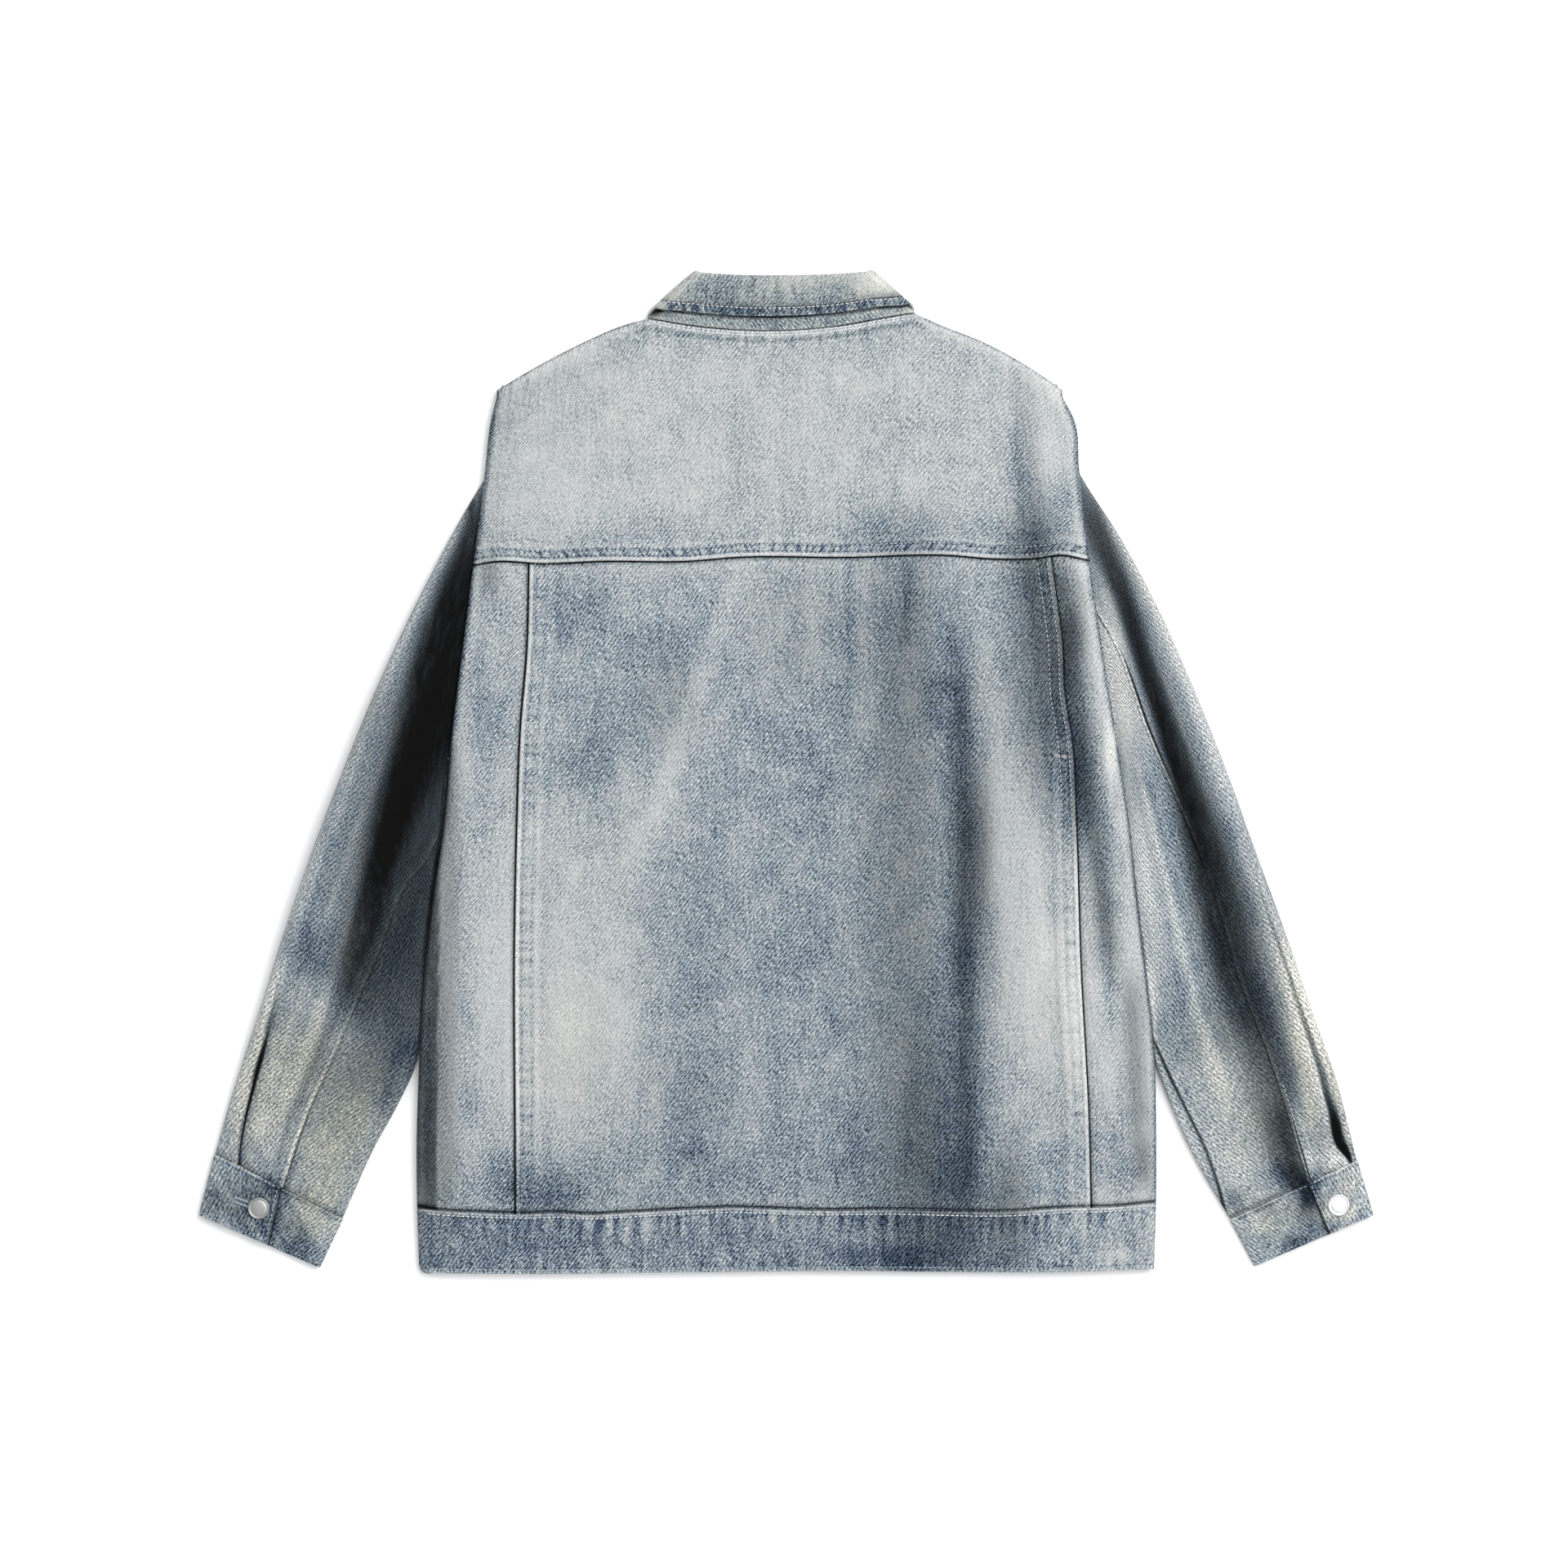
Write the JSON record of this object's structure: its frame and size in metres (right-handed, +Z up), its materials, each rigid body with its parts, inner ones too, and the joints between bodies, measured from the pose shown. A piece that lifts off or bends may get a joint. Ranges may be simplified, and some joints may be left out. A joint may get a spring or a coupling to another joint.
{
  "type": "denim jacket",
  "caption": "Washed denim jacket laid out flat with its back up: yoked back, turned-down collar, two-piece sleeves with buttoned cuffs and a hem band.",
  "frame": {"origin": "middle of the outline, on the surface that the jacket lies on", "axes": "+X across the jacket to its right sleeve, +Y from the hem to the collar, +Z up, out of the back"},
  "size_m": [0.877, 0.7492, 0.0256],
  "materials": {
    "denim": "acid-washed twill",
    "denim_pale": "acid-washed twill, most faded",
    "denim_shaded": "acid-washed twill, darker",
    "metal": "bare cap"
  },
  "bodies": {
    "root": {"back_yoke": "denim_pale", "back_panel": "denim", "back_side_left": "denim", "back_side_right": "denim", "front_left": "denim", "front_right": "denim", "hem_band": "denim", "collar_stand": "denim", "collar_fall": "denim_pale", "sleeve_upper_left": "denim_shaded", "sleeve_upper_right": "denim_shaded", "sleeve_under_left": "denim_shaded", "sleeve_under_right": "denim_shaded", "cuff_left": "denim", "cuff_right": "denim", "button_cuff_left": "metal", "button_cuff_right": "metal", "button_front_1": "metal", "button_front_2": "metal", "button_front_3": "metal", "button_front_4": "metal", "button_front_5": "metal"}
  },
  "joints": []
}
